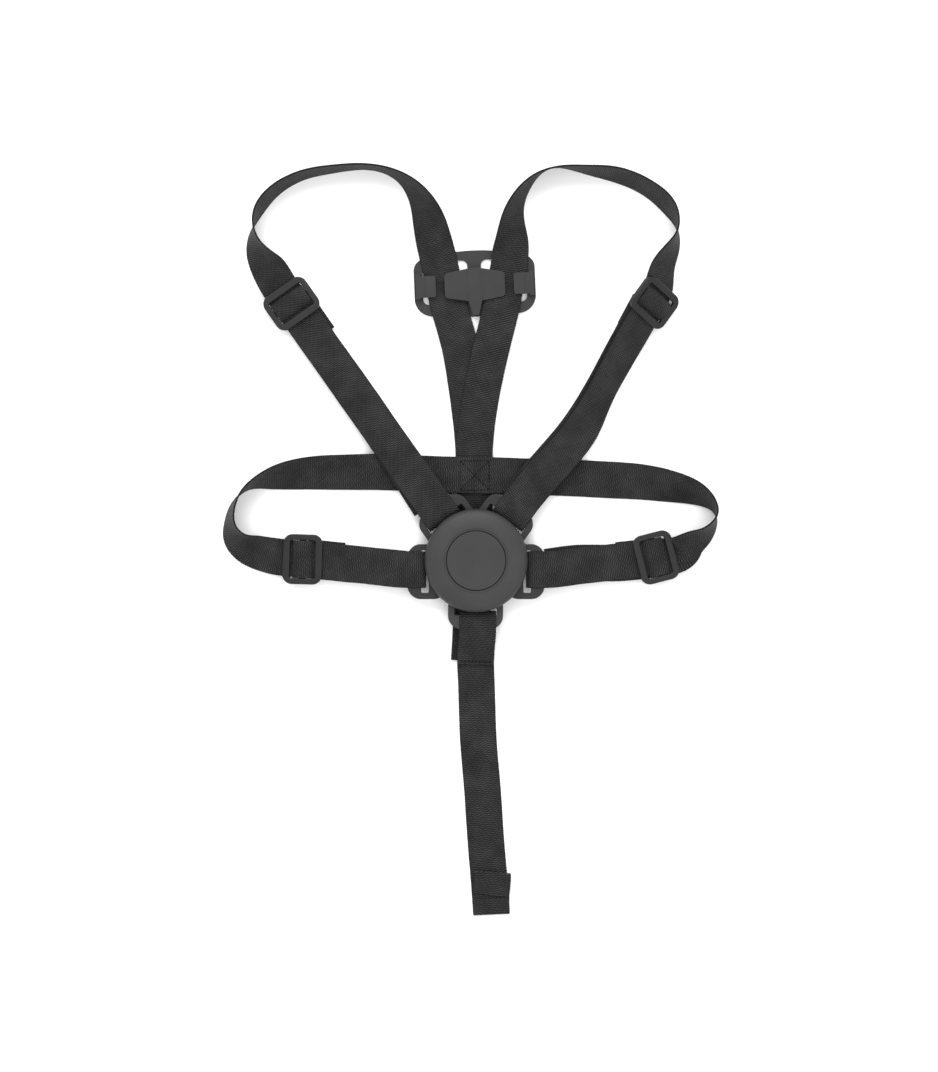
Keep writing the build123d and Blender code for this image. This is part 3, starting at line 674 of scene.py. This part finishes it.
# the crotch strap's end turned up over itself and down again as a stop: y, height and lean to the right
STOP = [
    (-250.0, 1.15, 0.0),
    (-253.6, 1.2, 0.0),
    (-255.1, 1.45, 0.0),
    (-255.2, 1.9, 0.0),
    (-253.8, 2.2, 0.0),
    (-246.0, 2.25, 0.1),
    (-238.0, 2.3, 0.7),
    (-230.4, 2.4, 1.6),
    (-228.2, 2.8, 1.9),
    (-227.0, 4.1, 2.0),
    (-227.6, 5.6, 2.0),
    (-229.9, 6.4, 1.9),
    (-233.6, 6.0, 1.5),
    (-238.2, 4.7, 0.9),
    (-241.8, 3.5, 0.3),
]
STOP_HEADING = Vector((0.045, -0.999, 0)).normalized()
STOP_START = Vector((13.65, -250.0, 0))
stop = []
for y, z, lean in STOP:
    reach = -250.0 - y
    flap = 0.13 * min(max((z - 2.2) / 1.2, 0.0), 1.0)
    across = Vector((0.999, 0.045 - flap, 0)).normalized()
    stop.append((STOP_START + STOP_HEADING * reach + Vector((lean, 0, z)), across))
piece = ribbon("crotch_stop_webbing", stop, seed=31, step=0.35, ripple=0.06, floor=False)
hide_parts("crotch_stop_fold")
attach(piece, "harness")


# ---------------------------------------------------------------- sewing
STITCH_STEPS, STITCH_SIDES = 6, 8


def seam(name, lines, pitch=2.5, length=1.9, radius=0.32):
    """Rows of single stitches along lines of points in millimetres, each with its ends drawn into the webbing."""
    vertices, faces = [], []
    for line in lines:
        a, b = Vector(line[0]), Vector(line[1])
        count = max(int(round((b - a).length / pitch)), 1)
        way = (b - a).normalized()
        beside = UP.cross(way).normalized()
        for i in range(count):
            middle = a + (b - a) * ((i + 0.5) / count)
            base = len(vertices)
            slant = 0.12 * (1 if i % 2 else -1)
            for step in range(STITCH_STEPS + 1):
                t = step / STITCH_STEPS * 2 - 1
                spot = middle + way * (t * length / 2) + beside * (slant * t)
                lift = 0.3 * (1 - t * t) - 0.28 * t**4
                thick = radius * (1 - 0.35 * t**4)
                for k in range(STITCH_SIDES):
                    turn = math.tau * k / STITCH_SIDES
                    round_it = beside * thick * math.cos(turn) + UP * (lift + thick * math.sin(turn))
                    vertices.append(tuple((spot + round_it) * MM))
            for step in range(STITCH_STEPS):
                ring = base + step * STITCH_SIDES
                after = ring + STITCH_SIDES
                for k in range(STITCH_SIDES):
                    n = (k + 1) % STITCH_SIDES
                    faces.append((ring + k, ring + n, after + n, after + k))
            faces.append(tuple(base + k for k in reversed(range(STITCH_SIDES))))
            faces.append(tuple(base + STITCH_STEPS * STITCH_SIDES + k for k in range(STITCH_SIDES)))
    piece = make_piece(name, vertices, faces, "thread")
    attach(piece, "harness")
    return piece


BOX_X, BOX_Y, BOX_TOP = 2.4, 43.4, 5.62
BOX_HALF = 9.9
BOX_CORNERS = ((-1, -1), (1, -1), (1, 1), (-1, 1))
corners = [(BOX_X + i * BOX_HALF, BOX_Y + j * BOX_HALF, BOX_TOP) for i, j in BOX_CORNERS]
box_lines = [(corners[i], corners[(i + 1) % 4]) for i in range(4)]
box_lines += [(corners[0], corners[2]), (corners[1], corners[3])]
sewn = seam("box_stitching", box_lines, pitch=2.2, length=1.7, radius=0.36)
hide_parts("back_box_stitching")
lap_y = CROTCH_LAP[-1][1] + 2.2
lap_top = 5.95
sewn = seam("crotch_lap_sewing", [((-7.6, lap_y + 0.25, lap_top), (13.9, lap_y - 0.25, lap_top))])
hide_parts("crotch_lap_stitching")
stop_y = -244.6
sewn = seam("crotch_stop_sewing", [((3.4, stop_y, 2.85), (23.8, stop_y + 0.9, 2.85))])
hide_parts("crotch_stop_stitching")


# ---------------------------------------------------------------- button spring
SPRING_LOW, SPRING_HIGH = 11.55, 18.2
SPRING_TURNS, SPRING_RADIUS, SPRING_WIRE = 4, 12.3, 0.5


def spring_coil():
    """The coil under the button, drawn open at its full length; the coil closes up as the button goes down."""
    sides, steps = 10, SPRING_TURNS * 48
    vertices, faces = [], []
    for i in range(steps + 1):
        turn = math.tau * SPRING_TURNS * i / steps
        outward = Vector((math.cos(turn), math.sin(turn), 0))
        middle = BUCKLE + outward * SPRING_RADIUS + UP * (SPRING_LOW + (SPRING_HIGH - SPRING_LOW) * i / steps)
        for k in range(sides):
            around = math.tau * k / sides
            spot = middle + (outward * math.cos(around) + UP * math.sin(around)) * SPRING_WIRE
            vertices.append(tuple(spot * MM))
    for i in range(steps):
        for k in range(sides):
            n = (k + 1) % sides
            faces.append((i * sides + k, i * sides + n, (i + 1) * sides + n, (i + 1) * sides + k))
    faces.append(tuple(reversed(range(sides))))
    faces.append(tuple(steps * sides + k for k in range(sides)))
    piece = make_piece("button_spring_coil", vertices, faces, "steel")
    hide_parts("button_spring")
    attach(piece, "harness")
    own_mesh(piece)


spring_coil()

# ---------------------------------------------------------------- floor, light, camera
def area(name, place, size, energy, target=(0, 0, 0)):
    data = bpy.data.lights.new(name, "AREA")
    data.shape = "RECTANGLE"
    data.size, data.size_y = size
    data.energy = energy
    lamp = bpy.data.objects.new(name, data)
    lamp.location = place
    lamp.rotation_euler = (Vector(target) - Vector(place)).to_track_quat("-Z", "Y").to_euler()
    lamp.visible_camera = False
    scene.collection.objects.link(lamp)


floor_mesh = bpy.data.meshes.new("floor")
floor_mesh.from_pydata([(-6, -6, 0), (6, -6, 0), (6, 6, 0), (-6, 6, 0)], [], [(0, 1, 2, 3)])
floor = bpy.data.objects.new("floor", floor_mesh)
floor.location.z = -0.0002
scene.collection.objects.link(floor)
floor_look = Tree("floor")
floor_look.set(Base_Color=(0.95, 0.95, 0.95, 1), Roughness=0.9, Specular_IOR_Level=0.1)
floor_mesh.materials.append(floor_look.material)

world = bpy.data.worlds.new("studio")
scene.world = world
world.use_nodes = True
world.node_tree.nodes["Background"].inputs["Color"].default_value = (1, 1, 1, 1)
world.node_tree.nodes["Background"].inputs["Strength"].default_value = 1.25
area("key", (-0.15, 1.15, 1.25), (1.3, 0.9), 22)
area("fill", (0.5, -0.6, 1.5), (1.2, 1.2), 6)
scene.view_settings.view_transform = "Standard"

LENS, SENSOR = 150, 36
VIEW_WIDTH = 729
CAMERA_X, CAMERA_Y = -1.4, 2.1
STRAP_LEVEL = 6
camera_data = bpy.data.cameras.new("camera")
camera_data.lens = LENS
camera_data.sensor_width = SENSOR
camera = bpy.data.objects.new("camera", camera_data)
camera.location = (CAMERA_X * MM, CAMERA_Y * MM, VIEW_WIDTH * MM * LENS / SENSOR + STRAP_LEVEL * MM)
scene.collection.objects.link(camera)
scene.camera = camera
